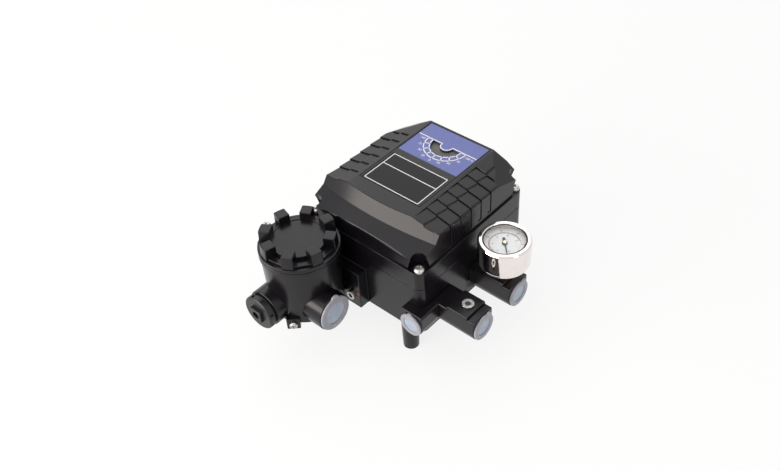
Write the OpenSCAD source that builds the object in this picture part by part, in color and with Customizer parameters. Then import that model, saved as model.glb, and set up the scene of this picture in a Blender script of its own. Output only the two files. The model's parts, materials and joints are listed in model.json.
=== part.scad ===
// Rotary valve positioner: a cast housing on four legs, a ribbed cover with a dial window,
// a round terminal box, three air ports and a pressure gauge, with the cam feedback inside.
// Millimetres. The origin is the feedback shaft axis at the plane of the leg ends.

/* [Housing] */
// Width of the housing, left to right
body_w = 122; // [116:1:134]
// Depth of the housing, front to back
body_d = 133; // [129:1:146]
// Corner radius of the housing
body_r = 7; // [5:0.5:9]
// Height of the lower housing without the legs
base_h = 48; // [46:1:60]
// Thickness of the cast side walls
wall = 4.2; // [3.6:0.2:5.2]
// Thickness of the housing floor
floor_t = 5; // [4:0.5:7]
// Distance from the shaft axis to the back face
shaft_back = 24.5; // [23.5:0.5:30]

/* [Legs] */
// Length of each leg below the floor
leg_h = 30; // [18:1:45]
// Radius of a leg at its end
leg_r = 6.7; // [5.6:0.1:8]
// Distance between leg axes, left to right
leg_span_x = 84; // [76:1:92]
// Distance between leg axes, front to back
leg_span_y = 120; // [110:1:121]
// Radius of the tapped hole in a leg
leg_hole_r = 3.4; // [2.4:0.1:4]
// Depth of the tapped hole in a leg
leg_hole_l = 18; // [10:1:22]

/* [Cover] */
// Height of the cover flange
flange_h = 17; // [12:0.5:22]
// Height of the cover above its flange
cover_rise = 30.5; // [29:0.5:36]
// Height of the ribbed side walls above the flange
side_rise = 24; // [23:0.25:25]
// Height of the front apron edge above the flange
apron_rise = 14.5; // [13:0.5:16]
// Step from the flange in to the cover walls
cover_inset = 1.5; // [1:0.25:2]
// Thickness of the cover walls
cover_wall = 3.4; // [3:0.2:4]
// Width of the flat top
plate_w = 67; // [64:1:72]
// Gap between the cover and the lower housing
part_gap = 0.3; // [0.2:0.05:0.6]
// Spacing of the side ribs
rib_pitch = 12.6; // [11.6:0.1:13]
// Width of a groove between ribs
groove_w = 1.2; // [0.8:0.1:1.6]
// Depth of a groove between ribs
groove_d = 1; // [0.6:0.1:1.4]
// Radius at the flange of the tapering scallop round a cover screw
pocket_r = 9; // [8:0.1:9.2]

/* [Dial] */
// Outer radius of the half-ring window
window_r = 14; // [12:0.5:15]
// Inner radius of the half-ring window
window_in_r = 6; // [4:0.5:7]
// Width of the dial plate
label_w = 61.4; // [54:0.2:62]
// Thickness of the dial plate and name plate
label_t = 0.8; // [0.6:0.1:1]
// Depth of a plate's top below the cover top
label_sink = 0.3; // [0.2:0.05:0.5]

/* [Shaft and cam] */
// Radius of the shaft at its drive end
drive_r = 5; // [4:0.25:5.75]
// Radius of the shaft in its bushes
shaft_r = 6; // [5.8:0.1:6.4]
// Radial running clearance of the moving parts
run_gap = 0.05; // [0.03:0.01:0.08]
// Length of the follower lever from pivot to roller
lever_l = 40; // [38:0.5:42]
// Radius of the follower roller
roller_r = 5; // [4.5:0.25:5.5]
// Distance of the roller from the shaft at rest
roller_out = 24; // [23:0.5:25]
// Swing of the lever over the whole shaft travel, degrees
lever_swing = 14.4; // [10:0.2:15]
// Travel of the shaft, degrees
shaft_travel = 90; // [60:5:90]

/* [Air ports] */
// Height of the port axes above the housing floor's underside
port_rise = 17.5; // [16.5:0.5:20]
// Half width of a port boss
port_boss_r = 12; // [11.5:0.25:12.5]
// Radius of the tapped wall of a port
port_r = 5.7; // [4.2:0.1:6]
// Length of the tapped wall of a port
port_l = 12; // [9:0.5:14]
// Reach of the side ports from the housing wall
port_reach = 41.1; // [40:0.1:44]
// Reach of the front port from the housing front
front_reach = 8.2; // [7:0.1:12]
// Distance from the front face back to the middle port
mid_port_y = 24.8; // [23:0.2:27]
// Distance from the front face back to the gauge port
gauge_port_y = 71; // [68:0.2:74]
// Distance of the front port from the right face
front_port_x = 3.8; // [2:0.1:5]

/* [Terminal box] */
// Distance from the housing centre line to the terminal box
term_x = 34.5; // [33:0.1:36]
// Distance from the housing front to the terminal box axis
term_y = 33.6; // [33.6:0.1:38]
// Outer radius of the terminal box at its rim
term_r = 33; // [32.4:0.1:33]
// Height of the rim above the housing floor's underside
term_rise = 68.4; // [67:0.2:72]
// Wall of the terminal box
term_wall = 5; // [4.4:0.1:5.4]
// Height of the conduit axes above the housing floor's underside
conduit_rise = 24; // [23:0.5:26]
// Outer radius of a conduit boss
conduit_boss_r = 16; // [15:0.25:16.5]
// Radius of the tapped wall of a conduit entry
conduit_r = 9.3; // [7:0.1:9.8]
// Length of the tapped wall of a conduit entry
conduit_l = 9.5; // [8:0.1:9.6]
// Number of grip lugs on the terminal cap
lug_count = 8; // [6:1:9]

/* [Gauge] */
// Outer radius of the gauge bezel
gauge_r = 21.5; // [19:0.25:22.5]
// Height of the gauge case with its bezel
gauge_h = 24.4; // [21:0.2:26]
// Height of the gauge case above its pad
gauge_lift = 12.3; // [11:0.1:18]

/* [Hidden] */
$fn = 64;

paint = "#2b292c";
steel = "#c9c9c6";
chrome = "#d8d6d0";
brass = "#b59a58";
rubber = "#1b1b1c";
grey_plastic = "#b9bdc4";

// Heights of the main levels
z_floor = leg_h;
z_inside = z_floor + floor_t;
z_part = z_floor + base_h;
z_cover = z_part + part_gap;
z_flange = z_part + flange_h;
z_top = z_flange + cover_rise;
z_port = z_floor + port_rise;
z_conduit = z_floor + conduit_rise;
z_rim = z_floor + term_rise;

// Faces of the housing in plan
half_w = body_w / 2;
back_y = shaft_back;
front_y = back_y - body_d;
mid_y = (front_y + back_y) / 2;

// Cover screws and the seal line that runs inside them
screw_in = 5.4;
screw_x = half_w - screw_in;
screw_y = body_d / 2 - screw_in;
screw_r = 2.5;
seal_r = 22.4;
seal_in = 1.3;
seal_w = 2;
seal_t = 2;
gap = 0.1;
touch = 0.02;
bite = 0.5;

module each_corner(x, y) {
    for (sx = [-1, 1], sy = [-1, 1]) translate([sx * x, mid_y + sy * y, 0]) children();
}

// Block with round corners, centred on the housing in plan
module block(inset, h, r) {
    w = body_w - 2 * inset;
    d = body_d - 2 * inset;
    translate([0, mid_y, 0]) {
        translate([-w / 2 + r, -d / 2, 0]) cube([w - 2 * r, d, h]);
        translate([-w / 2, -d / 2 + r, 0]) cube([w, d - 2 * r, h]);
        for (sx = [-1, 1], sy = [-1, 1])
            translate([sx * (w / 2 - r), sy * (d / 2 - r), 0]) cylinder(h = h, r = r);
    }
}

// Turns a shape drawn along +Z so that it points along +X or -Y
module to_right() { rotate([90, 0, 90]) children(); }
module to_front() { rotate([90, 0, 0]) children(); }

// Hexagon socket screw head with its socket, seated at z = 0
module socket_head(r, h) {
    difference() {
        cylinder(h = h, r = r);
        translate([0, 0, h * 0.4]) cylinder(h = h, r = r * 0.55, $fn = 6);
    }
}

// Round head with a cross recess, seated at z = 0
module cross_head(r, h) {
    difference() {
        union() {
            cylinder(h = h * 0.55, r = r);
            translate([0, 0, h * 0.55]) cylinder(h = h * 0.45, r1 = r, r2 = r * 0.72);
        }
        for (a = [0, 90]) rotate(a) translate([-r * 0.5, -r * 0.11, h * 0.5]) cube([r, r * 0.22, h]);
    }
}

// Air ports
port_face_x = half_w + port_reach;
front_face_y = front_y - front_reach;
mid_y_port = front_y + mid_port_y;
gauge_y = front_y + gauge_port_y;
front_x = half_w - front_port_x;
front_boss_r = port_boss_r - 1.2;
seat_r = 7.4;
seat_l = 4;
pad_up = 12.2;
boss_corner = 1.6;
pad_step = 2.5;
pad_len = 20;
pad_end = 6.5;
gauge_in = 14.4;
gauge_x = port_face_x - gauge_in;
pad_top = z_port + pad_up + pad_step;
gauge_hole_r = 4.5;
gauge_hole_l = 8.5;
passage_r = 2.6;

// Section of a port boss: round below, flat-topped above, drawn in XY with the pad toward +Y
module boss(h, r, up, corner) {
    cylinder(h = h, r = r);
    translate([-r, 0, 0]) cube([2 * r, up - corner, h]);
    translate([-r + corner, 0, 0]) cube([2 * (r - corner), up, h]);
    for (s = [-1, 1]) translate([s * (r - corner), up - corner, 0]) cylinder(h = h, r = corner);
}

// Tapped wall, seat for the dust cap and air passage, cut from a face at z = 0 toward -Z
module port_cut(back) {
    translate([0, 0, -seat_l]) cylinder(h = seat_l + 1, r = seat_r);
    translate([0, 0, -seat_l - port_l]) cylinder(h = port_l + 1, r = port_r);
    translate([0, 0, -back]) cylinder(h = back - seat_l, r = passage_r);
}

module side_port(y, grow = 0) {
    translate([half_w - bite, y, z_port]) to_right() {
        boss(port_reach + bite, port_boss_r + grow, pad_up, boss_corner);
        translate([0, 0, port_reach + bite - pad_end - pad_len])
            boss(pad_len, port_boss_r - touch, pad_up + pad_step, boss_corner);
    }
}

// Cast web in the corner beside a boss, hollowed by a round
web_r = 9;
web_low = 9.5;
web_h = 8;
module web(x, y, sx, sy) {
    translate([x, y, z_port - web_low]) difference() {
        translate([sx > 0 ? -bite : -web_r, sy > 0 ? -bite : -web_r, 0])
            cube([web_r + bite, web_r + bite, web_h]);
        translate([sx * web_r, sy * web_r, -1]) cylinder(h = web_h + 2, r = web_r - touch);
    }
}
// How far the foot of a web goes in under a round boss
function web_in(r) = r - sqrt(r * r - web_low * web_low) + bite;

// Cast core hole behind a tapped wall, run on through the boss to the housing
core_step = 0.4;
module side_port_cuts(y) {
    translate([port_face_x, y, z_port]) to_right() port_cut(port_face_x - pilot_right + 1);
    translate([half_w, y, z_port]) to_right() cylinder(h = port_reach - seat_l, r = port_r - core_step);
    translate([gauge_x, y, pad_top - gauge_hole_l]) cylinder(h = gauge_hole_l + 1, r = gauge_hole_r);
}

front_tail = 13;
supply_y = 14;
pilot_y = front_y + supply_y - 3;
pilot_right = front_x - front_boss_r - gap;
module front_port() {
    translate([front_x, front_y + front_tail, z_port]) to_front()
        boss(front_reach + front_tail, front_boss_r, pad_up, boss_corner);
}
module front_port_cut() {
    translate([front_x, front_face_y, z_port]) to_front() port_cut(front_reach + supply_y + passage_r);
}

// Space of the housing, which the port bosses seat against
module housing_space() { translate([0, 0, z_floor - 1]) block(-touch, base_h + 2, body_r); }
module front_port_boss() color(paint) difference() {
    union() {
        front_port();
        web(front_x + front_boss_r - web_in(front_boss_r),
            mid_y_port - port_boss_r + web_in(port_boss_r), 1, -1);
    }
    housing_space();
    side_port(mid_y_port, touch);
    front_port_cut();
}
module mid_port_boss() color(paint) difference() {
    union() {
        side_port(mid_y_port);
        web(half_w, mid_y_port + port_boss_r - web_in(port_boss_r), 1, 1);
    }
    housing_space();
    side_port_cuts(mid_y_port);
}
module gauge_port_boss() color(paint) difference() {
    union() {
        side_port(gauge_y);
        web(half_w, gauge_y - port_boss_r + web_in(port_boss_r), 1, -1);
    }
    housing_space();
    side_port_cuts(gauge_y);
}

// Inner bosses that carry the passages to the pilot valve
passage_wall = 3.4;
module inner_bosses() {
    inner = half_w - wall + bite - pilot_right - gap;
    sleeve_r = passage_r + passage_wall;
    translate([pilot_right + gap, gauge_y, z_port]) to_right() cylinder(h = inner, r = sleeve_r);
    translate([pilot_right + gap, front_y + wall - bite, z_inside - bite])
        cube([inner, mid_port_y + sleeve_r - wall, z_port + sleeve_r - z_inside]);
}

// Feedback shaft column in the housing floor
bush_r = 8.2;
bush_l = 10;
column_r = 12;
column_top = z_inside + 26;
bush_flange_r = 10;
bush_flange_t = 1.6;
seal_h = 4;
leg_draft = 0.7;
screw_depth = 14;

module legs() color(paint) each_corner(leg_span_x / 2, leg_span_y / 2) difference() {
    cylinder(h = leg_h - touch, r1 = leg_r, r2 = leg_r + leg_draft);
    translate([0, 0, -1]) cylinder(h = leg_hole_l + 1, r = leg_hole_r);
}

// Lower casting: open tray with corner pillars, inner bosses and the shaft column
module base_housing() color(paint) difference() {
    union() {
        difference() {
            translate([0, 0, z_floor]) block(0, base_h, body_r);
            translate([0, 0, z_inside]) block(wall, base_h, seal_r - wall);
        }
        translate([0, 0, z_floor]) cylinder(h = column_top - z_floor, r = column_r);
        inner_bosses();
    }
    translate([0, 0, z_part - seal_t]) difference() {
        block(seal_in, seal_t + 1, seal_r - seal_in);
        translate([0, 0, -1]) block(seal_in + seal_w, seal_t + 3, seal_r - seal_in - seal_w);
    }
    each_corner(screw_x, screw_y)
        translate([0, 0, z_part - screw_depth]) cylinder(h = screw_depth + 1, r = screw_r + gap);
    translate([0, 0, z_floor - 1]) cylinder(h = column_top - z_floor + 2, r = bush_r + touch);
    for (y = [mid_y_port, gauge_y]) side_port_cuts(y);
    front_port_cut();
    translate([pilot_right - 1, front_y + supply_y, z_port]) to_right()
        cylinder(h = front_x - pilot_right + 1, r = passage_r);
    neck_holes(concat(neck_outside, neck_inside), front_y + wall + 1, front_y - 1);
    neck_pockets();
    translate([tx, front_y + wall + 1, z_cable]) to_front() cylinder(h = wall + 2, r = cable_r);
}

// Cover form
plate_back = 4.9;
band_r = 252;
band_y = 14;
band_z = apron_rise + 5.5;
band_lean = 35;
apron_r = 353;
apron_lean = 23.7;
step_x = 45.4;
step_rise = 1.3;
far = 400;

// Half profile of the cover across its width, set in by i on every side
function side_half(i) = [
    [half_w - cover_inset - i, 0],
    [half_w - cover_inset - i, side_rise - i],
    [step_x + 0.6, side_rise - i + (half_w - cover_inset - step_x - 0.6) * 0.2],
    [step_x - 0.6, side_rise - i + (half_w - cover_inset - step_x - 0.6) * 0.2 + step_rise],
    [plate_w / 2, cover_rise - i]];
function mirrored(pts) = [for (k = [len(pts) - 1:-1:0]) [-pts[k][0], pts[k][1]]];

module side_form(i) {
    translate([0, back_y + 5, 0]) to_front() linear_extrude(body_d + 10)
        polygon(concat(side_half(i), mirrored(side_half(i))));
}

// Everything behind the arched front band or under the crowned apron
module front_form(i) {
    translate([0, front_y + band_y, band_z]) rotate([-band_lean, 0, 0])
        translate([0, band_r, -far / 2]) cylinder(h = far, r = band_r - i, $fn = 128);
    translate([0, front_y + cover_inset, apron_rise]) rotate([apron_lean, 0, 0])
        translate([0, far / 2, -apron_r]) rotate([90, 0, 0]) cylinder(h = far, r = apron_r - i, $fn = 128);
}

// Plain facet at a back corner, through three points of the cover
corner_tilt = 36;
corner_turn = 25.4;
module back_facet(i) {
    translate([plate_w / 2, back_y - plate_back, cover_rise])
        rotate([0, corner_tilt, corner_turn]) translate([-far / 2, -far / 2, -i]) cube([far, far, far / 2]);
}

module back_form(i) {
    slope = 8.5;
    to_right() translate([0, 0, -far / 2]) linear_extrude(far) polygon([
        [front_y, 0], [back_y - cover_inset - i, 0], [back_y - cover_inset - i, cover_rise - slope - i],
        [back_y - plate_back, cover_rise - i], [front_y, cover_rise - i]]);
}

module cover_form(i, corner) {
    difference() {
        intersection() {
            block(cover_inset + i, cover_rise + 1, corner);
            side_form(i);
            back_form(i);
            front_form(i);
        }
        back_facet(i);
        mirror([1, 0, 0]) back_facet(i);
    }
}

// Grooves between the side ribs, over the shoulder and down the wall to a short foot
groove_count = 5;
groove_start = front_y + 39.5;
foot_rise = 4;
foot_l = 3;
module grooves() {
    reach = half_w - plate_w / 2;
    for (s = [0, 1]) mirror([s, 0, 0]) for (k = [0:groove_count - 1])
        translate([plate_w / 2 + 2, groove_start + k * rib_pitch - groove_w / 2, foot_rise]) {
            difference() {
                cube([reach, groove_w, cover_rise]);
                translate([-plate_w / 2 - 2, far / 2, -foot_rise]) to_front() linear_extrude(far)
                    polygon(concat(side_half(groove_d), mirrored(side_half(groove_d))));
            }
            translate([half_w - cover_inset - groove_d - plate_w / 2 - 2, -foot_l, 0])
                cube([groove_d + 2, foot_l + 0.1, groove_w]);
        }
}

// Each rib falls away toward the back, so the row reads as overlapping steps
rib_fall = 5;
rib_lap = 0.3;
module rib_steps() {
    slope = atan(0.2);
    rows = [[half_w - cover_inset, side_rise, half_w - cover_inset - step_x - 0.6],
            [step_x - 0.6, side_rise + (half_w - cover_inset - step_x - 0.6) * 0.2 + step_rise, 9.5]];
    for (s = [0, 1]) mirror([s, 0, 0]) for (row = rows, k = [0:groove_count])
        translate([row[0], groove_start + (k - 1) * rib_pitch + groove_w / 2 - rib_lap, row[1]])
            rotate([0, slope, 0]) rotate([-rib_fall, 0, 0])
                translate([-row[2], 0, 0]) cube([row[2] + 3, rib_pitch - groove_w / 2, 6]);
}

label_front = -26.5;
label_back = 17.1;
name_front = -71.5;
name_back = -33;
name_w = 59;
z_label = z_top - label_sink - label_t;

module half_ring(outer, inner, h) {
    difference() {
        cylinder(h = h, r = outer);
        translate([0, 0, -1]) cylinder(h = h + 2, r = inner);
        translate([-outer - 1, 0, -1]) cube([2 * outer + 2, outer + 1, h + 2]);
    }
}

// Fine groove that frames the two plates
rule_w = 0.5;
rule_d = 0.4;
rule_side = 1.1;
module rule_block(i) {
    w = label_w + 2 * rule_side - 2 * i;
    translate([-w / 2, name_front - rule_side + i, -i])
        cube([w, label_back - name_front + 2 * rule_side - 2 * i, rule_d + 1 + 2 * i]);
}

module plate_seat(front, back, w, side) {
    translate([-w / 2 - side, front - side, z_label])
        cube([w + 2 * side, back - front + 2 * side, 5]);
}

pocket_draft = 7.3;
pocket_floor = 3;

// Cover casting: flange, scalloped corner pockets, arched band, ribbed sides and seats for the plates
module cover_shell() color(paint) difference() {
    union() {
        translate([0, 0, z_cover]) block(0, flange_h - part_gap, body_r);
        translate([0, 0, z_flange - bite]) block(cover_inset, bite + 1, body_r - 1);
        translate([0, 0, z_flange]) difference() {
            cover_form(0, body_r - 1);
            grooves();
            rib_steps();
        }
    }
    translate([0, 0, z_cover - 1]) block(wall, flange_h + 1 - part_gap - pocket_floor, seal_r - wall);
    translate([0, 0, z_flange - pocket_floor - bite])
        block(cover_inset + cover_wall, pocket_floor + 1, seal_r + 5);
    translate([0, 0, z_flange - 1]) cover_form(cover_wall, seal_r + 5);
    each_corner(screw_x, screw_y) {
        translate([0, 0, z_flange]) cylinder(h = cover_rise, r1 = pocket_r, r2 = pocket_r - pocket_draft);
        translate([0, 0, z_cover - 1]) cylinder(h = flange_h + 2, r = screw_r + gap);
    }
    plate_seat(label_front, label_back, label_w, gap);
    plate_seat(name_front, name_back, name_w, gap);
    translate([0, 0, z_top - 8]) half_ring(window_r, window_in_r, 9);
    translate([0, 0, z_top - rule_d]) difference() {
        rule_block(0);
        rule_block(rule_w);
    }
}

module cover_gasket() color(rubber) translate([0, 0, z_part - seal_t]) difference() {
    block(seal_in + gap, seal_t, seal_r - seal_in - gap);
    translate([0, 0, -1]) block(seal_in + seal_w - gap, seal_t + 2, seal_r - seal_in - seal_w + gap);
}

module cover_screws() color(steel) each_corner(screw_x, screw_y) translate([0, 0, z_flange]) {
    cross_head(4.2, 3.4);
    screw_l = flange_h + screw_depth - 4;
    translate([0, 0, -screw_l]) cylinder(h = screw_l + bite, r = screw_r);
}

module dial_plate() color("#6d74b4") difference() {
    translate([-label_w / 2, label_front, z_label])
        cube([label_w, label_back - label_front, label_t]);
    translate([0, 0, z_top - 8]) half_ring(window_r, window_in_r, 9);
}

window_t = 2.4;
window_sink = 1.4;
module dial_window() color("#9aa3ad", 0.5) translate([0, 0, z_label - window_t - window_sink])
    half_ring(window_r - gap, window_in_r + gap, window_t);

module name_plate() color("#343336")
    translate([-name_w / 2, name_front, z_label]) cube([name_w, name_back - name_front, label_t]);

// Shaft, bushes and cam
cam_t = 3;
z_cam = z_part + 8;
z_disc = z_top - 9;
z_collar = column_top + bush_flange_t + touch;
hub_r = 13;
small_r = 1.6;
nut_r = 7.5;
nut_t = 4;
thread_r = 4.4;
tap_r = 2.5;
tap_l = 14;
module main_shaft() color(steel) difference() {
    union() {
        cylinder(h = z_floor - 2, r = drive_r);
        translate([0, 0, z_floor - 2]) cylinder(h = z_collar - z_floor + 2, r = shaft_r);
        translate([0, 0, z_collar]) cylinder(h = z_cam - z_collar, r = shaft_r + 2);
        translate([0, 0, z_cam - bite]) cylinder(h = z_disc - z_cam + bite, r = thread_r);
    }
    translate([0, 0, -1]) cylinder(h = tap_l + 1, r = tap_r);
    translate([0, 0, z_disc - 6]) cylinder(h = 7, r = small_r);
}

module bush(z, flip) translate([0, 0, z]) mirror([0, 0, flip]) difference() {
    union() {
        translate([0, 0, -bush_l]) cylinder(h = bush_l, r = bush_r);
        cylinder(h = bush_flange_t, r = bush_flange_r);
    }
    translate([0, 0, -bush_l - 1]) cylinder(h = bush_l + bush_flange_t + 2, r = shaft_r + run_gap);
}
module upper_bush() color(brass) bush(column_top, 0);
module lower_bush() color(brass) bush(z_floor, 1);

module shaft_seal() color(rubber) translate([0, 0, z_floor + bush_l + 2]) difference() {
    cylinder(h = seal_h, r = bush_r);
    translate([0, 0, -1]) cylinder(h = seal_h + 2, r = shaft_r + run_gap);
}

// Follower lever: the roller moves out along an arc while the shaft turns
rest_a = 225;
roller_0 = roller_out * [cos(rest_a), sin(rest_a)];
pivot = roller_0 + lever_l * [cos(rest_a + 90), sin(rest_a + 90)];
lever_a = rest_a - 90;
cam_gap = 0.3;
function roller_at(f) = pivot + lever_l * [cos(lever_a + f), sin(lever_a + f)];
function cam_point(t) =
    let (
        p = roller_at(t / shaft_travel * lever_swing),
        a = atan2(p[1], p[0]) + t,
        r = norm(p) - roller_r - cam_gap)
    [r * cos(a), r * sin(a)];

// Cam plate: its working edge follows the roller path turned back by the shaft angle
cam_lead = 14;
cam_step = 4;
module cam() color(steel) translate([0, 0, z_cam]) difference() {
    union() {
        cylinder(h = cam_t, r = hub_r);
        linear_extrude(cam_t)
            polygon(concat([[0, 0]], [for (t = [-cam_lead:cam_step:shaft_travel + cam_lead]) cam_point(t)]));
    }
    translate([0, 0, -1]) cylinder(h = cam_t + 2, r = thread_r + touch);
}

module cam_nut() color(brass) translate([0, 0, z_cam + cam_t]) difference() {
    cylinder(h = nut_t, r = nut_r, $fn = 6);
    translate([0, 0, -1]) cylinder(h = nut_t + 2, r = thread_r + touch);
}

disc_t = 1.4;
disc_r = window_r + 2.4;
module indicator_disc() color("#4a4a4c") translate([0, 0, z_disc]) difference() {
    cylinder(h = disc_t, r = disc_r);
    translate([0, 0, -1]) cylinder(h = disc_t + 2, r = small_r);
}

module indicator_screw() color(steel) translate([0, 0, z_disc + disc_t]) {
    cross_head(3, 2);
    translate([0, 0, -disc_t - 4]) cylinder(h = disc_t + 4 + bite, r = small_r - gap);
}

// Lever pivot post, lever, roller and its pin
z_lever = z_cam - 5;
lever_t = 3;
lever_w = 8;
pin_r = 2.5;
tail_l = 20.8;
roller_h = 4.4;
module lever_pivot() color(steel) translate([pivot[0], pivot[1], z_inside]) {
    cylinder(h = z_lever - z_inside - gap, r = 4);
    cylinder(h = z_lever - z_inside + lever_t + gap, r = pin_r);
    translate([0, 0, z_lever - z_inside + lever_t + gap]) cylinder(h = 1, r = 3.6);
}

module follower_lever() color(steel) translate([pivot[0], pivot[1], z_lever]) rotate(lever_a) difference() {
    union() {
        translate([-tail_l, -lever_w / 2, 0]) cube([tail_l + lever_l, lever_w, lever_t]);
        for (x = [-tail_l, lever_l]) translate([x, 0, 0]) cylinder(h = lever_t, r = lever_w / 2);
        cylinder(h = lever_t, r = 5.5);
    }
    translate([0, 0, -1]) cylinder(h = lever_t + 2, r = pin_r + run_gap);
    translate([lever_l, 0, -1]) cylinder(h = lever_t + 2, r = small_r + touch);
    translate([-tail_l, 0, -1]) cylinder(h = lever_t + 2, r = 1.2);
}

module roller_pin() color(steel) translate([roller_0[0], roller_0[1], z_lever]) {
    cylinder(h = lever_t + roller_h + 3 * gap, r = small_r);
    translate([0, 0, lever_t + roller_h + 2 * gap]) cylinder(h = 1, r = small_r + 1);
}

module roller() color(steel) translate([roller_0[0], roller_0[1], z_lever + lever_t + gap]) difference() {
    cylinder(h = roller_h, r = roller_r);
    translate([0, 0, -1]) cylinder(h = roller_h + 2, r = small_r + run_gap);
}

// Feedback spring from the lever tail to the flapper: a helix swept by a small ring
tail = pivot - tail_l * [cos(lever_a), sin(lever_a)];
spring_r = 2.4;
wire_r = 0.4;
spring_turns = 12;
ring_n = 6;
turn_n = 12;
flapper_x = -28;
flapper_w = 6;
spring_clear = 4.2;
spring_from = flapper_x + flapper_w / 2 + cam_gap + wire_r;
spring_to = tail[0] - lever_w / 2 - spring_clear - wire_r;
function coil_ring(k) =
    let (a = 360 * k / turn_n, x = spring_from + (spring_to - spring_from) * k / (turn_n * spring_turns))
    [for (j = [0:ring_n - 1]) let (b = 360 * j / ring_n, r = spring_r + wire_r * cos(b))
        [x + wire_r * sin(b), r * cos(a), r * sin(a)]];
module feedback_spring() color(steel) translate([0, tail[1], z_lever + lever_t / 2]) {
    rings = turn_n * spring_turns;
    pts = [for (k = [0:rings]) each coil_ring(k)];
    sides = [for (k = [0:rings - 1], j = [0:ring_n - 1])
        let (a = k * ring_n + j, b = k * ring_n + (j + 1) % ring_n) [a, b, b + ring_n, a + ring_n]];
    first = [for (j = [ring_n - 1:-1:0]) j];
    last = [for (j = [0:ring_n - 1]) rings * ring_n + j];
    polyhedron(pts, concat([first], sides, [last]));
}

// Torque motor: a yoke that holds a core with its coil, magnets on top
motor_side = 6.8;
motor_x = -half_w + wall + motor_side;
motor_w = 40;
neck_head_h = 4.5;
motor_clear = 0.5;
motor_y = front_y + wall + neck_head_h + motor_clear;
motor_d = 22;
pole_t = 4;
pole_h = 34;
core_r = 4;
coil_r = 8.6;
coil_rim = 1.4;
core_z = z_inside + 20;
module motor_yoke() color(steel) translate([motor_x, motor_y, z_inside]) difference() {
    union() {
        cube([motor_w, motor_d, pole_t]);
        for (x = [0, motor_w - pole_t]) translate([x, 0, 0]) cube([pole_t, motor_d, pole_h]);
    }
    translate([-1, motor_d / 2, core_z - z_inside]) to_right() cylinder(h = motor_w + 2, r = core_r + touch);
}
module at_core(x) { translate([motor_x + x, motor_y + motor_d / 2, core_z]) to_right() children(); }
module motor_core() color(steel) at_core(0) cylinder(h = motor_w, r = core_r);
module motor_coil() color("#8a4a2a") at_core(pole_t + gap) {
    l = motor_w - 2 * pole_t - 2 * gap;
    rim = coil_r + coil_rim;
    rotate_extrude() polygon([[core_r + gap, 0], [rim, 0], [rim, coil_rim], [coil_r, coil_rim],
        [coil_r, l - coil_rim], [rim, l - coil_rim], [rim, l], [core_r + gap, l]]);
}
magnet_in = 4;
magnet_h = 6;
module motor_magnets() color("#55585c") for (x = [0, motor_w - pole_t])
    translate([motor_x + x, motor_y + magnet_in, z_inside + pole_h])
        cube([pole_t, motor_d - 2 * magnet_in, magnet_h]);

// Flapper on a cross pin in its flexure block, with the nozzle beside its top
flap_z = z_inside + 7;
flap_y = tail[1];
flap_t = 2;
hinge_r = 1.5;
flex_w = 14;
flex_d = 7;
flex_h = 11;
ear_t = 3.6;
module flexure_block() color(steel) translate([flapper_x, flap_y, z_inside]) {
    translate([-flex_w / 2, -flex_d / 2, 0]) cube([flex_w, flex_d, 3]);
    for (x = [-flex_w / 2, flex_w / 2 - ear_t]) translate([x, -flex_d / 2, 0]) cube([ear_t, flex_d, flex_h]);
    translate([-flex_w / 2, 0, flap_z - z_inside]) to_right() cylinder(h = flex_w, r = hinge_r);
}
module flapper() color(steel) translate([flapper_x, flap_y, 0]) difference() {
    union() {
        translate([-flapper_w / 2, -flap_t / 2, flap_z])
            cube([flapper_w, flap_t, z_lever + lever_t + 2 - flap_z]);
        translate([-flapper_w / 2, 0, flap_z]) to_right() cylinder(h = flapper_w, r = hinge_r + 1.6);
    }
    translate([-flapper_w, 0, flap_z]) to_right() cylinder(h = 2 * flapper_w, r = hinge_r + run_gap);
}
nozzle_rise = 34;
nozzle_z = z_inside + nozzle_rise;
nozzle_gap = 0.9;
nozzle_r = 2.4;
nozzle_tip = 3;
nozzle_l = 11;
jet_r = 0.5;
post_w = 8;
post_d = 6;
module nozzle() color(brass) translate([flapper_x, flap_y + flap_t / 2 + nozzle_gap, 0]) {
    translate([0, 0, nozzle_z]) rotate([-90, 0, 0]) difference() {
        union() {
            cylinder(h = nozzle_tip, r1 = 2 * jet_r, r2 = nozzle_r);
            translate([0, 0, nozzle_tip]) cylinder(h = nozzle_l - nozzle_tip, r = nozzle_r);
        }
        translate([0, 0, -1]) cylinder(h = nozzle_l - 1, r = jet_r);
    }
    translate([-post_w / 2, nozzle_l - nozzle_tip, z_inside])
        cube([post_w, post_d, nozzle_z - z_inside + 2 * nozzle_r]);
}

// Pilot valve with a sliding spool beside the ports
pilot_x = 16.5;
pilot_d = gauge_port_y - supply_y + 8;
spool_r = 4;
spool_x = (pilot_x + pilot_right) / 2;
pilot_h = port_rise - floor_t + spool_r + 6;
cap_t = 4;
spool_play = 2;
spindle_r = 2.5;
am_y = pilot_y + 23;
module pilot_body() color("#8f9094") difference() {
    translate([pilot_x, pilot_y, z_inside]) cube([pilot_right - pilot_x, pilot_d, pilot_h]);
    translate([spool_x, pilot_y + pilot_d + 1, z_port]) to_front() cylinder(h = pilot_d + 2, r = spool_r);
    for (y = [front_y + supply_y, mid_y_port, gauge_y])
        translate([spool_x, y, z_port]) to_right() cylinder(h = pilot_right - spool_x + 1, r = passage_r);
    translate([spool_x, am_y, z_inside + pilot_h - 5]) cylinder(h = 6, r = spindle_r + run_gap);
}
module pilot_end_caps() color("#6f7074") for (y = [pilot_y - cap_t, pilot_y + pilot_d])
    translate([pilot_x + cap_t, y, z_inside + 2])
        cube([pilot_right - pilot_x - 2 * cap_t, cap_t, pilot_h - 4]);
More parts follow.
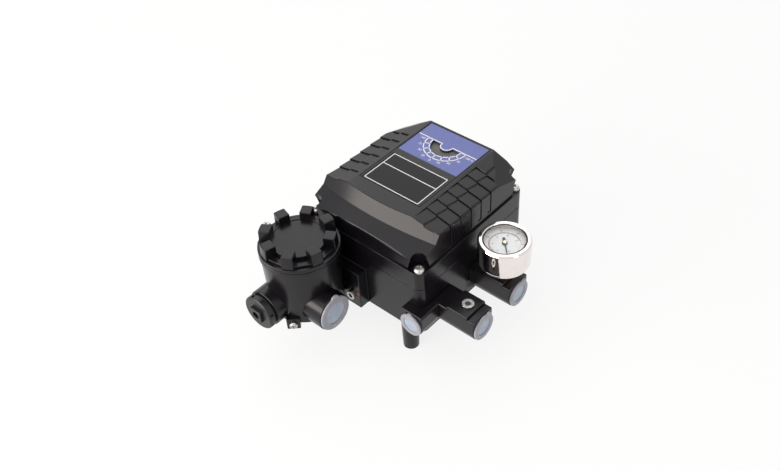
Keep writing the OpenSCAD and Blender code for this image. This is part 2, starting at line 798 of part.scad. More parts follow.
module pilot_spool() color(steel) translate([spool_x, pilot_y + pilot_d - spool_play, z_port]) to_front() {
    l = pilot_d - 2 * spool_play;
    r = spool_r - 0.03;
    land = 2.4;
    rotate_extrude() polygon(concat([[0, 0]], [for (k = [0:3]) each [
        [r, k * l / 4 + (k == 0 ? 0 : land)], [r, (k + 1) * l / 4 - (k == 3 ? 0 : land)],
        if (k < 3) [r - 1.4, (k + 1) * l / 4 - land],
        if (k < 3) [r - 1.4, (k + 1) * l / 4 + land]]], [[0, l]]));
}
module auto_manual_screw() color(brass) translate([spool_x, am_y, z_inside + pilot_h]) difference() {
    union() {
        translate([0, 0, gap]) cylinder(h = 4, r = 4.5);
        translate([0, 0, -4.6]) cylinder(h = 6, r = spindle_r);
    }
    translate([-5, -0.6, 2.6]) cube([10, 1.2, 3]);
}

// Zero and span knobs on a bracket
knob_r = 8;
knob_h = 7;
knob_y = -36;
knob_side = 2.8;
knob_gap = 3;
zero_x = -half_w + wall + knob_r + knob_side;
span_x = zero_x + 2 * knob_r + knob_gap;
bracket_rise = 24;
bracket_z = z_inside + bracket_rise;
bracket_t = 3;
module adjuster_bracket() color(steel) difference() {
    union() {
        translate([zero_x - knob_r, knob_y - knob_r, bracket_z - bracket_t])
            cube([span_x - zero_x + 2 * knob_r, 2 * knob_r, bracket_t]);
        for (x = [zero_x - knob_r, span_x + knob_r - bracket_t]) translate([x, knob_y - knob_r, z_inside])
            cube([bracket_t, 2 * knob_r, bracket_z - z_inside]);
    }
    for (x = [zero_x, span_x]) translate([x, knob_y, bracket_z - bracket_t - 1])
        cylinder(h = bracket_t + 2, r = spindle_r + run_gap);
}
module knob(x) translate([x, knob_y, bracket_z + gap]) difference() {
    union() {
        cylinder(h = knob_h, r = knob_r);
        translate([0, 0, -bracket_t - 4]) cylinder(h = bracket_t + 5, r = spindle_r);
    }
    for (a = [0:20:340]) rotate(a)
        translate([knob_r + 0.3, 0, 1]) cylinder(h = knob_h, r = 0.8, $fn = 16);
    translate([-4, -0.6, knob_h - 1.2]) cube([8, 1.2, 2]);
}
module zero_knob() color(brass) knob(zero_x);
module span_knob() color("#8f9094") knob(span_x);

// Terminal box on its bolted neck
tx = -term_x;
ty = front_y - term_y;
chamber_r = term_r - term_wall;
cap_flange = 1.6;
conduit_seat_r = 12;
conduit_seat_l = 6;
chamber_step = 4;
low_r = chamber_r - chamber_step;

// Where the conduit axes cross, set away from the housing, and the reach of each boss from there
conduit_off = [-7, -7.7];
right_reach = 46.7;
front_boss_reach = 31.9;
relief_r = 11;
term_bottom = z_conduit - conduit_boss_r + 3;
chamber_floor = term_bottom + 4;
neck_t = 9;
neck_w = 28;
neck_left = -57;
neck_right = 3;
neck_top = z_floor + 38;
neck_bottom = z_floor + 0.5;
neck_gap = 1;
cable_r = 7;
z_cable = z_conduit + 4;
neck_screw_x = [-53, -5.8];
neck_screw_z = [neck_bottom + 11.7, neck_top - 6.5];
neck_screw_r = 2.5;
neck_bite = neck_t - 1;
neck_head_r = 4.2;
neck_out_h = 2.6;

// One screw is driven from the front, the other three from inside the housing
neck_outside = [[neck_screw_x[1], neck_screw_z[0]]];
neck_inside = [for (x = neck_screw_x, z = neck_screw_z) if ([x, z] != neck_outside[0]) [x, z]];
module neck_holes(spots, from, to) {
    for (p = spots) translate([p[0], from, p[1]]) to_front() cylinder(h = from - to, r = neck_screw_r + gap);
}

// Pockets inside the front corner for the heads of the left pair
module neck_pockets() {
    for (z = neck_screw_z)
        translate([neck_screw_x[0], front_y + wall, z]) rotate([-90, 0, 0])
            cylinder(h = body_r + 8, r = neck_head_r + gap);
}

module at_term(z) { translate([tx, ty, z]) children(); }
module at_conduits() { translate([tx + conduit_off[0], ty + conduit_off[1], z_conduit]) children(); }

lug_a = -46.5;
lock_a = 180;
lock_out = term_r + 5.2;
lock_t = 5;
lock_r = 4.2;
z_lock = z_rim - 1;
lug_h = 11;
lug_root = 14;
lug_far = 31.6;
ground_drop = 12;
ring_h = 4.2;
barrel_r = term_r - 1;
term_draft = 1.4;

// Seat, tapped wall and inner relief of a conduit entry, cut along +Z to its face
module conduit_cut(face) {
    seat = face - conduit_seat_l;
    translate([0, 0, seat]) cylinder(h = conduit_seat_l + 1, r = conduit_seat_r);
    translate([0, 0, seat - conduit_l - 1]) cylinder(h = conduit_l + 2, r = conduit_r);
    cylinder(h = seat - conduit_l, r = relief_r);
}
module terminal_housing() color(paint) difference() {
    union() {
        at_term(term_bottom)
            cylinder(h = z_rim - bite - term_bottom, r1 = barrel_r - term_draft, r2 = barrel_r);
        at_term(z_rim - ring_h) cylinder(h = ring_h - part_gap, r = term_r);
        at_conduits() to_right() cylinder(h = right_reach, r = conduit_boss_r);
        at_conduits() to_front() cylinder(h = front_boss_reach, r = conduit_boss_r);
        translate([neck_left, front_y - neck_gap - neck_t, neck_bottom])
            cube([neck_right - neck_left, neck_t, neck_top - neck_bottom]);
        translate([tx - neck_w / 2, ty, neck_bottom + 4])
            cube([neck_w, term_y - neck_gap - 2, neck_top - neck_bottom - 8]);
        at_conduits() rotate(lug_a)
            translate([lug_far - lug_root, -lug_h / 2, -ground_drop - lug_h / 2])
                cube([lug_root, lug_h, lug_h]);
        at_term(z_lock - lock_t) rotate(lock_a) {
            translate([chamber_r + 1, -lock_r, 0]) cube([lock_out - chamber_r - 1, 2 * lock_r, lock_t]);
            translate([lock_out, 0, 0]) cylinder(h = lock_t, r = lock_r);
        }
    }
    at_term(chamber_floor) cylinder(h = z_rim, r = low_r);
    at_term(z_rim - skirt_l - 2) cylinder(h = z_rim, r = chamber_r);
    at_conduits() {
        to_right() conduit_cut(right_reach);
        to_front() conduit_cut(front_boss_reach);
    }
    translate([tx, ty + term_y, z_cable]) to_front() cylinder(h = term_y, r = cable_r);
    neck_holes(neck_outside, front_y, front_y - neck_gap - neck_t - 1);
    neck_holes(neck_inside, front_y, front_y - neck_gap - neck_bite);
    at_conduits() rotate(lug_a) translate([lug_far - lug_root / 2, 0, -ground_drop]) to_right()
        cylinder(h = lug_root, r = small_r + gap);
    at_term(z_lock - lock_t - 1) rotate(lock_a) translate([lock_out, 0, 0])
        cylinder(h = lock_t + 2, r = small_r + gap);
}

module neck_gasket() color(rubber) difference() {
    translate([neck_left, front_y - neck_gap + touch, neck_bottom])
        cube([neck_right - neck_left, neck_gap - 2 * touch, neck_top - neck_bottom]);
    neck_holes(concat(neck_outside, neck_inside), front_y + 1, front_y - 2);
    translate([tx, front_y + 1, z_cable]) to_front() cylinder(h = 3, r = cable_r);
}

module neck_screw(l, head) {
    socket_head(neck_head_r, head);
    translate([0, 0, -l]) cylinder(h = l + bite, r = neck_screw_r);
}
module neck_screws() color(steel) {
    for (p = neck_outside) translate([p[0], front_y - neck_gap - neck_t, p[1]]) to_front()
        neck_screw(neck_t + neck_gap + wall - 1, neck_out_h);
    for (p = neck_inside) translate([p[0], front_y + wall, p[1]]) rotate([-90, 0, 0])
        neck_screw(wall + neck_gap + neck_bite - 1, neck_head_h);
}

// Terminal block with four clamp screws
tb_h = 12;
tb_w = 30;
tb_d = 20;
tb_pitch = 7;
tb_screw_r = 2;
module terminal_block() color("#3f6b4f") difference() {
    at_term(chamber_floor) translate([-tb_w / 2, -tb_d / 2, 0]) cube([tb_w, tb_d, tb_h]);
    for (k = [-1.5:1:1.5]) at_term(chamber_floor + tb_h - 7)
        translate([k * tb_pitch, 0, 0]) cylinder(h = 8, r = tb_screw_r + gap);
    for (k = [-1:1]) at_term(chamber_floor + tb_h - 3)
        translate([k * tb_pitch - 0.4, -tb_d, 0]) cube([0.8, 2 * tb_d, 4]);
}
module terminal_screws() color(brass) for (k = [-1.5:1:1.5])
    at_term(chamber_floor + tb_h) translate([k * tb_pitch, 0, 0]) {
        cross_head(2.8, 2);
        translate([0, 0, -6]) cylinder(h = 6 + bite, r = tb_screw_r);
    }

// Terminal cap: threaded skirt, round rim, many-sided foot and tall grip lugs round a plain disc
skirt_l = 10;
skirt_r = chamber_r - 0.3;
disc_rise = 8.4;
disc_dip = 0.5;
lug_rise = 14.6;
lug_w = 9.6;
lug_in = 21.6;
lug_to = 31.4;
lug_turn = 29.6;
foot_in = 29.2;
foot_top = 5.1;
edge_r = 22.6;
rim_t = 3.2;
oring_r = 1.1;
oring_z = z_rim - 3;
oring_R = skirt_r - 1;
module terminal_cap() color(paint) difference() {
    union() {
        at_term(z_rim) cylinder(h = rim_t, r = term_r);
        at_term(z_rim + rim_t - 1) rotate(lug_turn)
            cylinder(h = foot_top - rim_t + 1, r = foot_in / cos(180 / lug_count), $fn = lug_count);
        at_term(z_rim + rim_t) cylinder(h = disc_rise - rim_t, r = edge_r);
        at_term(z_rim - skirt_l) cylinder(h = skirt_l + 1, r = skirt_r);
        at_term(z_rim + rim_t - 1) intersection() {
            for (k = [0:lug_count - 1]) rotate(k * 360 / lug_count + lug_turn)
                translate([lug_in, -lug_w / 2, 0]) cube([lug_to, lug_w, lug_rise - rim_t + 1]);
            cylinder(h = lug_rise, r1 = lug_to + 0.4, r2 = lug_to - 0.4);
        }
    }
    at_term(z_rim - skirt_l - 1) cylinder(h = skirt_l + disc_rise - 4, r = edge_r - 3.4);
    at_term(z_rim + disc_rise - disc_dip) cylinder(h = 2, r = edge_r - 1.6);
    at_term(oring_z) rotate_extrude()
        translate([oring_R - oring_r - gap, -oring_r - gap]) square([8, 2 * (oring_r + gap)]);
}
module cap_oring() color(rubber)
    at_term(oring_z) rotate_extrude() translate([oring_R, 0]) circle(r = oring_r, $fn = 32);
module cap_lock_screw() color(steel) at_term(z_lock) rotate(lock_a) translate([lock_out, 0, 0]) {
    cross_head(3, 2.6);
    translate([0, 0, -lock_t - 1]) cylinder(h = lock_t + 1 + bite, r = small_r);
}
module ground_screw() color(steel)
    at_conduits() rotate(lug_a) translate([lug_far, 0, -ground_drop]) to_right() {
        cross_head(3.4, 3);
        translate([0, 0, -6]) cylinder(h = 6 + bite, r = small_r);
    }

// Push-in dust cap seen from outside: flange, shallow dish, pull tab and spigot toward -Z
cap_play = 0.3;
module dust_cap(r, spigot_r, spigot_l, tab_a) difference() {
    union() {
        cylinder(h = cap_flange, r = r);
        rotate(tab_a) translate([r - 1, 0, 0]) cylinder(h = cap_flange, r = r * 0.26);
        translate([0, 0, -spigot_l]) cylinder(h = spigot_l + 0.5, r = spigot_r);
    }
    translate([0, 0, cap_flange - 0.7]) cylinder(h = 2, r = r * 0.66);
    translate([0, 0, -spigot_l - 1]) cylinder(h = spigot_l, r = spigot_r - 1.2);
}
module port_cap(r, tab_a) { dust_cap(r - 0.5, seat_r - cap_play, seat_l - cap_play, tab_a); }
module mid_dust_cap() color(grey_plastic)
    translate([port_face_x + gap, mid_y_port, z_port]) to_right() port_cap(port_boss_r, 55);
module gauge_dust_cap() color(grey_plastic)
    translate([port_face_x + gap, gauge_y, z_port]) to_right() port_cap(port_boss_r, 55);
module front_dust_cap() color(grey_plastic)
    translate([front_x, front_face_y - gap, z_port]) to_front() port_cap(front_boss_r, 94);
module conduit_dust_cap() color(grey_plastic)
    at_conduits() to_right() translate([0, 0, right_reach + gap])
        dust_cap(conduit_boss_r - 0.8, conduit_seat_r - cap_play, conduit_seat_l - cap_play, 83);

// Blanking plug of the second conduit: notched collar and square boss
plug_ring = 2.4;
plug_collar = 7.4;
plug_square = 11.4;
plug_boss = 2.6;
notch_w = 3.4;
module conduit_plug() color(rubber) at_conduits() to_front() translate([0, 0, front_boss_reach + touch])
    difference() {
        union() {
            cylinder(h = plug_ring + bite, r = conduit_boss_r - 2.6);
            translate([0, 0, plug_ring]) cylinder(h = plug_collar - plug_ring - 1, r = conduit_boss_r - 0.8);
            translate([0, 0, plug_collar - 1])
                cylinder(h = 1, r1 = conduit_boss_r - 0.8, r2 = conduit_boss_r - 1.8);
            translate([-plug_square / 2, -plug_square / 2, plug_collar - bite])
                cube([plug_square, plug_square, plug_boss + bite]);
            translate([0, 0, -conduit_seat_l]) cylinder(h = conduit_seat_l + 0.5, r = conduit_seat_r - touch);
            translate([0, 0, -conduit_seat_l - conduit_l]) cylinder(h = conduit_l + 1, r = conduit_r - touch);
        }
        for (a = [22.5:45:337.5]) rotate(a)
            translate([conduit_boss_r - 2.2, -notch_w / 2, plug_ring - 0.5])
                cube([4, notch_w, plug_collar - plug_ring - 1]);
        translate([0, 0, plug_collar - 2]) cylinder(h = 6, r = 3.2);
    }

// Socket plug in the middle pad
module gauge_port_plug() color(steel) translate([gauge_x, mid_y_port, pad_top]) {
    socket_head(gauge_hole_r + 0.4, 2);
    translate([0, 0, -gauge_hole_l + 1]) cylinder(h = gauge_hole_l - 0.5, r = gauge_hole_r - touch);
}

// Pressure gauge on the rear pad
z_gauge = pad_top + gauge_lift;
z_bezel = z_gauge + gauge_h;
case_r = gauge_r - 1.4;
case_t = 1.2;
z_dial = z_bezel - 6.4;
dial_t = 0.6;
lens_t = 1.6;
arbor_r = 0.8;
collar_r = 5;
lens_drop = 2.4;
bezel_h = gauge_h - 1.6;
module at_gauge(z) { translate([gauge_x, gauge_y, z]) children(); }
module gauge_case() color(chrome) difference() {
    at_gauge(z_gauge) cylinder(h = z_bezel - z_gauge - lens_drop, r = case_r);
    at_gauge(z_gauge + case_t) cylinder(h = gauge_h, r = case_r - case_t);
    at_gauge(z_gauge - 1) cylinder(h = case_t + 2, r = collar_r + touch);
}
module gauge_stem() color(brass) {
    at_gauge(pad_top + 2) cylinder(h = gauge_lift - 2 - touch, r = 7, $fn = 6);
    at_gauge(pad_top - gauge_hole_l + 1) cylinder(h = gauge_hole_l + 2, r = gauge_hole_r - touch);
    at_gauge(z_gauge - bite) cylinder(h = case_t + 1 + bite, r = collar_r);
}
module gauge_movement() color(brass) difference() {
    at_gauge(z_gauge + case_t + 1) cylinder(h = z_dial - z_gauge - case_t - 1 - touch, r = collar_r + 1);
    at_gauge(z_dial - 6) cylinder(h = 8, r = arbor_r + run_gap);
}
module gauge_dial() color("white") at_gauge(z_dial) difference() {
    cylinder(h = dial_t, r = case_r - case_t - gap);
    translate([0, 0, -1]) cylinder(h = dial_t + 2, r = arbor_r + run_gap);
}
pointer_a = -45;
module gauge_pointer() color("#1a1a1a") at_gauge(z_dial + dial_t + 0.6) rotate(pointer_a) {
    translate([-5, -0.45, 0]) cube([19, 0.9, 0.5]);
    translate([-5, 0, 0]) cylinder(h = 0.5, r = 1.3);
    cylinder(h = 1.2, r = 2.2);
    translate([0, 0, -5]) cylinder(h = 5.5, r = arbor_r);
}
module gauge_lens() color("#dfe6ea", 0.35)
    at_gauge(z_bezel - lens_drop + touch) cylinder(h = lens_t, r = case_r);
module gauge_bezel() color(chrome) at_gauge(z_bezel - bezel_h) rotate_extrude() {
    seat = bezel_h - lens_drop + lens_t + 2 * touch;
    polygon([[case_r + touch, 0], [gauge_r - 1.1, 0], [gauge_r - 0.4, 1.6], [gauge_r, bezel_h - 1.4],
        [gauge_r - 1.2, bezel_h], [gauge_r - 3.6, bezel_h], [gauge_r - 4.2, seat], [case_r + touch, seat]]);
}

base_housing();
legs();
front_port_boss();
mid_port_boss();
gauge_port_boss();
cover_shell();
cover_gasket();
cover_screws();
dial_plate();
dial_window();
name_plate();
main_shaft();
lower_bush();
upper_bush();
shaft_seal();
cam();
cam_nut();
indicator_disc();
indicator_screw();
lever_pivot();
follower_lever();
roller_pin();
roller();
feedback_spring();
motor_yoke();
motor_magnets();
motor_core();
motor_coil();
flexure_block();
flapper();
nozzle();
pilot_body();
pilot_end_caps();
pilot_spool();
auto_manual_screw();
adjuster_bracket();
zero_knob();
span_knob();
terminal_housing();
neck_gasket();
neck_screws();
terminal_block();
terminal_screws();
terminal_cap();
cap_oring();
cap_lock_screw();
ground_screw();
conduit_plug();
conduit_dust_cap();
mid_dust_cap();
gauge_dust_cap();
front_dust_cap();
gauge_port_plug();
gauge_case();
gauge_stem();
gauge_movement();
gauge_dial();
gauge_pointer();
gauge_lens();
gauge_bezel();
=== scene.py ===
import bpy
import bmesh
import json
import math
from mathutils import Matrix, Vector


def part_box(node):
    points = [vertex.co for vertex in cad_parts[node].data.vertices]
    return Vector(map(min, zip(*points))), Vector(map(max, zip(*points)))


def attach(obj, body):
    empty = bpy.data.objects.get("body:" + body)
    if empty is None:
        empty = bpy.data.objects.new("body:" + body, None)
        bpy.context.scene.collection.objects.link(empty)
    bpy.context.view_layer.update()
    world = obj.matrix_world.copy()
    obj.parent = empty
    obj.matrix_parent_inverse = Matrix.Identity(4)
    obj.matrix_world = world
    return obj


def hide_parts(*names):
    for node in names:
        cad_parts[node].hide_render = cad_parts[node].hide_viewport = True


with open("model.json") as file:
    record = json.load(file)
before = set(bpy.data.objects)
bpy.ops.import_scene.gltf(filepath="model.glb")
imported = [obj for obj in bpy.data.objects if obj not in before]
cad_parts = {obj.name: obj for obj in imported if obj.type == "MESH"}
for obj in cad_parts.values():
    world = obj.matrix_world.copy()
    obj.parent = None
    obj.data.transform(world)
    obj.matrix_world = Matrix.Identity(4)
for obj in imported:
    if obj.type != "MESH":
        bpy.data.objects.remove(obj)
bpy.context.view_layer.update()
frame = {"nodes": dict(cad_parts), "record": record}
nodes = frame["nodes"]
mm = 0.001
scene = bpy.context.scene
scene.view_settings.view_transform = "Standard"
print("frame loaded:", len(nodes), "nodes")

# camera fitted to the photograph, in the part's own frame
cameraSetup = {
    "azimuth": 44.62, "elevation": 42.76, "roll": -4.42,  # degrees
    "distance": 777.7,
    "target": (-6.8, -68.2, 70.9),  # mm
    "focalPixels": 934.1, "imageWidth": 780, "sensor": 36,
    "nearest": 0.01,  # m, where the view starts
}


def placeCamera(setup):
    a = math.radians(setup["azimuth"])
    e = math.radians(setup["elevation"])
    r = math.radians(setup["roll"])
    back = Vector((math.sin(a) * math.cos(e), -math.cos(a) * math.cos(e), math.sin(e)))
    level = Vector((math.cos(a), math.sin(a), 0))
    rise = back.cross(level)
    right = level * math.cos(r) + rise * math.sin(r)
    up = rise * math.cos(r) - level * math.sin(r)
    data = bpy.data.cameras.new("photoCamera")
    data.sensor_width = setup["sensor"]
    data.lens = setup["focalPixels"] / setup["imageWidth"] * setup["sensor"]
    data.clip_start = setup["nearest"]
    camera = bpy.data.objects.new("photoCamera", data)
    scene.collection.objects.link(camera)
    spot = (Vector(setup["target"]) + back * setup["distance"]) * mm
    camera.matrix_world = Matrix.Translation(spot) @ Matrix((right, up, back)).transposed().to_4x4()
    scene.camera = camera


placeCamera(cameraSetup)

# studio light: a bank low in front, sheets overhead and at the back left, a strip on the right, a white surround
lampSetup = [
    # name, place, aim and size in metres, watts, colour
    ("frontBank", (-0.42, -1.5, 0.62), (0, -0.05, 0.08), (1.85, 0.7), 25, "#fff6ee"),
    ("topSheet", (-0.15, -0.35, 1.5), (0, -0.05, 0.05), (2.2, 2.2), 9, "#ffffff"),
    ("backSheet", (-0.85, 0.8, 1.25), (0, -0.05, 0.1), (1.6, 1.6), 7, "#ffffff"),
    ("rightStrip", (1.2, -0.2, 0.75), (0.05, -0.05, 0.06), (0.35, 0.8), 1.2, "#ffffff"),
]
surround = {"colour": "#ffffff", "seen": 0.88, "light": 0.45}  # strength in view and reflections, and as light


def srgb(hexColour):
    parts = [int(hexColour[i:i + 2], 16) / 255 for i in (1, 3, 5)]
    return tuple(c / 12.92 if c <= 0.04045 else ((c + 0.055) / 1.055) ** 2.4 for c in parts) + (1.0,)


def addNode(tree, kind, values=None, links=None, **settings):
    made = tree.nodes.new(kind)
    for name, value in settings.items():
        setattr(made, name, value)
    for socket, value in (values or {}).items():
        made.inputs[socket].default_value = value
    for socket, source in (links or {}).items():
        tree.links.new(source, made.inputs[socket])
    return made


def seenRay(tree):
    # 1 for rays that reach the eye straight, by a mirror-like surface or through glass
    path = addNode(tree, "ShaderNodeLightPath")
    glossy = addNode(tree, "ShaderNodeMath", operation="MAXIMUM",
                     links={0: path.outputs["Is Camera Ray"], 1: path.outputs["Is Glossy Ray"]})
    return addNode(tree, "ShaderNodeMath", operation="MAXIMUM",
                   links={0: glossy.outputs[0], 1: path.outputs["Is Transmission Ray"]}).outputs[0]


def lightStudio():
    for name, place, aim, size, watts, colour in lampSetup:
        data = bpy.data.lights.new(name, "AREA")
        data.shape = "RECTANGLE"
        data.size, data.size_y = size
        data.energy = watts
        data.color = srgb(colour)[:3]
        lamp = bpy.data.objects.new(name, data)
        lamp.location = place
        lamp.rotation_euler = (Vector(aim) - Vector(place)).to_track_quat("-Z", "Y").to_euler()
        scene.collection.objects.link(lamp)
    world = bpy.data.worlds.new("whiteSurround")
    world.use_nodes = True
    tree = world.node_tree
    tree.nodes.clear()
    strength = addNode(tree, "ShaderNodeMapRange", links={"Value": seenRay(tree)},
                       values={"To Min": surround["light"], "To Max": surround["seen"]})
    sky = addNode(tree, "ShaderNodeBackground", values={"Color": srgb(surround["colour"])},
                  links={"Strength": strength.outputs["Result"]})
    addNode(tree, "ShaderNodeOutputWorld", links={"Surface": sky.outputs[0]})
    scene.world = world


lightStudio()
print("camera and lights placed")


# materials
def newFinish(name, colour, roughness, metallic=0.0, **sockets):
    finish = bpy.data.materials.new(name)
    finish.use_nodes = True
    tree = finish.node_tree
    shader = tree.nodes["Principled BSDF"]
    shader.inputs["Base Color"].default_value = srgb(colour)
    shader.inputs["Roughness"].default_value = roughness
    shader.inputs["Metallic"].default_value = metallic
    for socket, value in sockets.items():
        shader.inputs[socket.replace("_", " ")].default_value = value
    spots = addNode(tree, "ShaderNodeTexCoord")
    return finish, tree, shader, spots.outputs["Object"]


def perMetre(sizeMm):
    return 1000 / sizeMm  # noise scale that gives one blotch of about this size


def addNoise(tree, spot, sizeMm, detail):
    return addNode(tree, "ShaderNodeTexNoise", values={"Scale": perMetre(sizeMm), "Detail": detail},
                   links={"Vector": spot}).outputs["Fac"]


def setTone(tree, shader, factor, ends, colours):
    tone = addNode(tree, "ShaderNodeValToRGB", links={"Fac": factor})
    for element, position, colour in zip(tone.color_ramp.elements, ends, colours):
        element.position = position
        element.color = srgb(colour)
    tree.links.new(tone.outputs["Color"], shader.inputs["Base Color"])


def setGloss(tree, shader, factor, start, end):
    gloss = addNode(tree, "ShaderNodeMapRange", links={"Value": factor}, values={"To Min": start, "To Max": end})
    tree.links.new(gloss.outputs["Result"], shader.inputs["Roughness"])


def setBump(tree, shader, height, strength, depth):
    bump = addNode(tree, "ShaderNodeBump", values={"Strength": strength, "Distance": depth * mm},
                   links={"Height": height})
    tree.links.new(bump.outputs["Normal"], shader.inputs["Normal"])


def castEnamel():
    # polyester powder coat on die-cast aluminium: deep black, a soft sheen broken by fine orange peel
    look = {"colour": "#0e0b10", "worn": "#151216", "ends": (0.35, 0.8), "roughness": (0.2, 0.28),
            "specular": 0.35, "cloud": 16, "peel": 0.9, "bump": 0.12, "depth": 0.05}  # sizes in mm
    finish, tree, shader, spot = newFinish("castEnamel", look["colour"], sum(look["roughness"]) / 2,
                                           Specular_IOR_Level=look["specular"])
    cloud = addNoise(tree, spot, look["cloud"], 5)
    setTone(tree, shader, cloud, look["ends"], (look["colour"], look["worn"]))
    setGloss(tree, shader, cloud, *look["roughness"])
    setBump(tree, shader, addNoise(tree, spot, look["peel"], 2), look["bump"], look["depth"])
    return finish


def metalFinish(name, colour, dull, roughness, grain, stretch=(1, 1, 1), depth=0.01):
    # bare or plated metal: tone and gloss shift along fine machining or polishing marks
    look = {"ends": (0.3, 0.65), "bump": 0.2}
    finish, tree, shader, spot = newFinish(name, colour, sum(roughness) / 2, metallic=1.0)
    turned = addNode(tree, "ShaderNodeMapping", values={"Scale": stretch}, links={"Vector": spot})
    marks = addNoise(tree, turned.outputs["Vector"], grain, 4)
    setTone(tree, shader, marks, look["ends"], (dull, colour))
    setGloss(tree, shader, marks, roughness[1], roughness[0])
    setBump(tree, shader, marks, look["bump"], depth)
    return finish


def solidFinish(name, colour, shade, roughness, grain, depth=0.02, **sockets):
    # moulded, printed or rubber surface: one colour with a faint mottle and a fine texture
    look = {"ends": (0.3, 0.7), "gloss": (0.9, 1.12), "mottle": 8, "bump": 0.15}
    finish, tree, shader, spot = newFinish(name, colour, roughness, **sockets)
    mottle = addNoise(tree, spot, grain * look["mottle"], 4)
    setTone(tree, shader, mottle, look["ends"], (shade, colour))
    setGloss(tree, shader, mottle, *(roughness * share for share in look["gloss"]))
    setBump(tree, shader, addNoise(tree, spot, grain, 2), look["bump"], depth)
    return finish


finishes = {
    "black_paint": castEnamel(),
    # zinc-plated steel screws, bright with a faint blue-grey bloom
    "steel_screw": metalFinish("zincPlatedSteel", "#d2d0ca", "#9b9a97", (0.24, 0.4), 1.2),
    # polished chrome plate on the gauge, mirror-like with a slight warm cast
    "chrome": metalFinish("polishedChrome", "#ece5e2", "#e7e0dd", (0.05, 0.08), 6, depth=0.0005),
    # ground and turned stainless steel inside
    "steel": metalFinish("turnedSteel", "#bcbcb8", "#8d8d8a", (0.28, 0.45), 0.8, stretch=(1, 1, 6)),
    # free-cutting brass of the bushes, cam nut, nozzle, terminal screws and gauge stem, as turned
    "brass": metalFinish("turnedBrass", "#c9a65a", "#a07f3e", (0.22, 0.4), 0.8, stretch=(1, 1, 6)),
    # nickel-washed brass of the gauge hub
    "pale_brass": metalFinish("nickelWashedBrass", "#e2d9bf", "#c9bf9f", (0.2, 0.3), 0.6),
    # clear-anodised aluminium of the pilot valve and the span knob
    "aluminium": metalFinish("anodisedAluminium", "#b4b5b8", "#8e8f93", (0.36, 0.5), 1.0),
    # sintered magnet, and the painted shade on the floors of the screw sockets
    "magnet": metalFinish("sinteredMagnet", "#5c5d60", "#3d3e41", (0.4, 0.6), 0.7),
    # enamelled copper wire, wound in rows of about half a millimetre
    "copper": metalFinish("enamelledCopper", "#b4602f", "#6b331a", (0.25, 0.4), 0.5, stretch=(12, 1, 1),
                          depth=0.08),
    # nitrile rubber, moulded matt
    "rubber": solidFinish("nitrileRubber", "#1d1d1e", "#141415", 0.7, 0.6),
    # screen-printed aluminium dial plate with a satin clear coat
    "blue_plate": solidFinish("bluePrintedPlate", "#6069a6", "#5b64a0", 0.42, 0.5, depth=0.005),
    # the name plate, printed black
    "black_plate": solidFinish("blackPrintedPlate", "#161415", "#121112", 0.45, 0.5, depth=0.005,
                               Specular_IOR_Level=0.22),
    # screen inks of the dial, name plate and gauge
    "white_ink": solidFinish("whiteScreenInk", "#eeeeec", "#e4e4e2", 0.5, 0.4, depth=0.005),
    "red_ink": solidFinish("redScreenInk", "#c9555d", "#be4b53", 0.5, 0.4, depth=0.005),
    "black_ink": solidFinish("blackScreenInk", "#2c2c2e", "#242426", 0.5, 0.4, depth=0.005),
    # lacquer that seals the neck screw
    "red_lacquer": solidFinish("redTamperLacquer", "#b3121c", "#930e16", 0.3, 0.4),
    # white stove enamel on the gauge dial
    "dial_white": solidFinish("whiteStoveEnamel", "#eef0ef", "#e8eaea", 0.4, 0.6, depth=0.003),
    # stoved enamel of the gauge pointer
    "black_enamel": solidFinish("blackPointerEnamel", "#1c1c1e", "#161617", 0.35, 0.5),
    # glass-filled polyamide, slightly grained by the mould
    "terminal_plastic": solidFinish("greenPolyamide", "#3f6b4f", "#375f46", 0.45, 0.5),
    # the same polyamide in black, on the blanking plug
    "black_plastic": solidFinish("blackPolyamide", "#121213", "#0c0c0d", 0.38, 0.5),
    # low-density polyethylene caps: milky, the light goes a little way in
    "cap_plastic": solidFinish("milkyPolyethylene", "#9c9ca4", "#8f8f98", 0.34, 0.6,
                               Subsurface_Weight=0.2, Subsurface_Scale=0.002),
    # bluish recess of the same caps, where the thin skin shows the cavity behind
    "cap_skin": solidFinish("thinPolyethylene", "#b0b5bb", "#90a3bb", 0.3, 0.9,
                            Subsurface_Weight=0.2, Subsurface_Scale=0.002),
    # clear polycarbonate, moulded and polished
    "lens": solidFinish("clearPolycarbonate", "#ffffff", "#fdfefe", 0.04, 4, depth=0.001,
                        Transmission_Weight=1.0, IOR=1.2),
    # smoked polycarbonate of the dial window
    "window": solidFinish("smokedPolycarbonate", "#73706e", "#6c6967", 0.3, 4, depth=0.001,
                          Transmission_Weight=0.2, IOR=1.3),
    # grey stove enamel on the position indicator under the window
    "grey_paint": solidFinish("greyStoveEnamel", "#77736f", "#6e6a67", 0.5, 0.6),
}
print("finishes made:", len(finishes))

